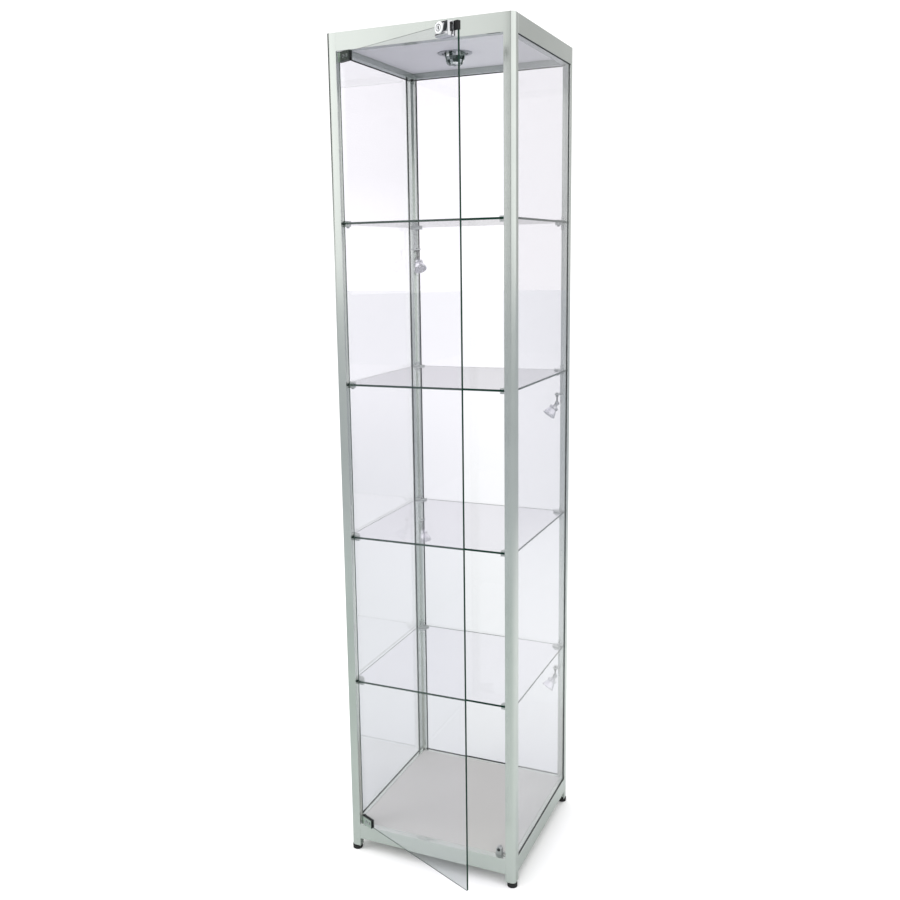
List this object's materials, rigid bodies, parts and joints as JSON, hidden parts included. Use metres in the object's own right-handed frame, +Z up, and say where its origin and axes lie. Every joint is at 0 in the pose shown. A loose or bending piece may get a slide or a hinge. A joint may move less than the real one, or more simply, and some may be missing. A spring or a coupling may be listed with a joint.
{
  "type": "glass display case",
  "caption": "Tall free-standing display case: square aluminium post frame, glass sides and back, hinged glass door with lock, glass shelves, ceiling lamp and small spotlights, levelling feet.",
  "frame": {"origin": "on the floor, at the centre of the four feet", "axes": "+Z up, -Y towards the door side, +X to the right when facing the door"},
  "size_m": [0.453, 0.6224, 2.025],
  "materials": {
    "frame_aluminium": "satin anodised",
    "panel_board": "matt",
    "cover_sheet": "matt",
    "pane_glass": "clear float",
    "shelf_glass": "clear toughened",
    "door_glass": "clear toughened",
    "gasket_rubber": "matt",
    "clip_metal": "satin anodised",
    "screw_steel": "bright",
    "chrome": "polished",
    "hinge_dark": "semi-gloss",
    "nylon": "smooth",
    "pad_rubber": "matt",
    "cap_plastic": "gloss",
    "catch_grey": "satin",
    "lamp_chrome": "polished",
    "spot_metal": "satin",
    "arm_dark": "satin",
    "driver_case": "matt",
    "lead_pvc": "matt",
    "foot_black": "matt",
    "insert_plastic": "matt"
  },
  "bodies": {
    "case": {"post_front_left": "frame_aluminium", "post_front_right": "frame_aluminium", "post_back_right": "frame_aluminium", "post_back_left": "frame_aluminium", "header_rail_front": "frame_aluminium", "base_rail_front": "frame_aluminium", "header_rail_right": "frame_aluminium", "base_rail_right": "frame_aluminium", "header_rail_back": "frame_aluminium", "base_rail_back": "frame_aluminium", "header_rail_left": "frame_aluminium", "base_rail_left": "frame_aluminium", "rail_connectors": "screw_steel", "ceiling_panel": "panel_board", "top_cover": "cover_sheet", "base_panel": "panel_board", "side_glass_left": "pane_glass", "side_glass_right": "pane_glass", "back_glass": "pane_glass", "glazing_gaskets": "gasket_rubber", "shelf_clips": "clip_metal", "shelf_clip_screws": "screw_steel", "hinge_plates": "chrome", "plate_screws": "screw_steel", "pivot_bushes": "nylon", "door_catch": "catch_grey", "catch_bumper": "pad_rubber", "downlight_trim": "lamp_chrome", "light_driver": "driver_case", "cable_gland": "cap_plastic", "lamp_leads": "lead_pvc", "foot_inserts": "insert_plastic", "spot_clips": "clip_metal", "shelf_1": "shelf_glass", "shelf_2": "shelf_glass", "shelf_3": "shelf_glass", "shelf_4": "shelf_glass"},
    "door": {"door_glass": "door_glass", "hinge_clamps": "hinge_dark", "pivot_pins": "screw_steel", "clamp_pads": "pad_rubber", "clamp_screws": "screw_steel", "lock_body": "chrome", "lock_corner_cap": "cap_plastic"},
    "lock_core": {"lock_cylinder": "chrome", "lock_cam": "screw_steel"},
    "downlight": {"downlight_gimbal": "lamp_chrome", "downlight_lamp": "lamp_chrome"},
    "spot_arm_1_swivel": {"spot_arm_1": "arm_dark"},
    "spot_lamp_1_head": {"spot_lamp_1": "spot_metal"},
    "spot_arm_2_swivel": {"spot_arm_2": "arm_dark"},
    "spot_lamp_2_head": {"spot_lamp_2": "spot_metal"},
    "spot_arm_3_swivel": {"spot_arm_3": "arm_dark"},
    "spot_lamp_3_head": {"spot_lamp_3": "spot_metal"},
    "spot_arm_4_swivel": {"spot_arm_4": "arm_dark"},
    "spot_lamp_4_head": {"spot_lamp_4": "spot_metal"},
    "foot_front_left_screw": {"foot_front_left": "foot_black"},
    "foot_front_right_screw": {"foot_front_right": "foot_black"},
    "foot_back_right_screw": {"foot_back_right": "foot_black"},
    "foot_back_left_screw": {"foot_back_left": "foot_black"}
  },
  "joints": [
    {"name": "door_hinge", "type": "hinge", "parent": "case", "child": "door", "pos_m": [-0.19, -0.216, 1.03], "axis": [0, 0, -1], "range_deg": [-25, 75]},
    {"name": "lock_turn", "type": "hinge", "parent": "door", "child": "lock_core", "pos_m": [0.12601, -0.38542, 1.97], "axis": [-0.4226, -0.9063, 0], "range_deg": [0, 90]},
    {"name": "downlight_tilt", "type": "hinge", "parent": "case", "child": "downlight", "pos_m": [0, 0, 2.003], "axis": [1, 0, 0], "range_deg": [-15, 15]},
    {"name": "spot_swivel_1", "type": "hinge", "parent": "case", "child": "spot_arm_1_swivel", "pos_m": [-0.195, 0.195, 1.5206], "axis": [0, 0, 1], "range_deg": [-40, 40]},
    {"name": "spot_tilt_1", "type": "hinge", "parent": "spot_arm_1_swivel", "child": "spot_lamp_1_head", "pos_m": [-0.195, 0.195, 1.5206], "axis": [-0.7071, -0.7071, 0], "range_deg": [-25, 25]},
    {"name": "spot_swivel_2", "type": "hinge", "parent": "case", "child": "spot_arm_2_swivel", "pos_m": [0.195, 0.195, 1.1402], "axis": [0, 0, 1], "range_deg": [-40, 40]},
    {"name": "spot_tilt_2", "type": "hinge", "parent": "spot_arm_2_swivel", "child": "spot_lamp_2_head", "pos_m": [0.195, 0.195, 1.1402], "axis": [-0.7071, 0.7071, 0], "range_deg": [-25, 25]},
    {"name": "spot_swivel_3", "type": "hinge", "parent": "case", "child": "spot_arm_3_swivel", "pos_m": [-0.195, 0.195, 0.7598], "axis": [0, 0, 1], "range_deg": [-40, 40]},
    {"name": "spot_tilt_3", "type": "hinge", "parent": "spot_arm_3_swivel", "child": "spot_lamp_3_head", "pos_m": [-0.195, 0.195, 0.7598], "axis": [-0.7071, -0.7071, 0], "range_deg": [-25, 25]},
    {"name": "spot_swivel_4", "type": "hinge", "parent": "case", "child": "spot_arm_4_swivel", "pos_m": [0.195, 0.195, 0.3794], "axis": [0, 0, 1], "range_deg": [-40, 40]},
    {"name": "spot_tilt_4", "type": "hinge", "parent": "spot_arm_4_swivel", "child": "spot_lamp_4_head", "pos_m": [0.195, 0.195, 0.3794], "axis": [-0.7071, 0.7071, 0], "range_deg": [-25, 25]},
    {"name": "foot_level_front_left", "type": "slide", "parent": "case", "child": "foot_front_left_screw", "axis": [0, 0, -1], "range_m": [0, 0.015]},
    {"name": "foot_level_front_right", "type": "slide", "parent": "case", "child": "foot_front_right_screw", "axis": [0, 0, -1], "range_m": [0, 0.015]},
    {"name": "foot_level_back_right", "type": "slide", "parent": "case", "child": "foot_back_right_screw", "axis": [0, 0, -1], "range_m": [0, 0.015]},
    {"name": "foot_level_back_left", "type": "slide", "parent": "case", "child": "foot_back_left_screw", "axis": [0, 0, -1], "range_m": [0, 0.015]}
  ]
}
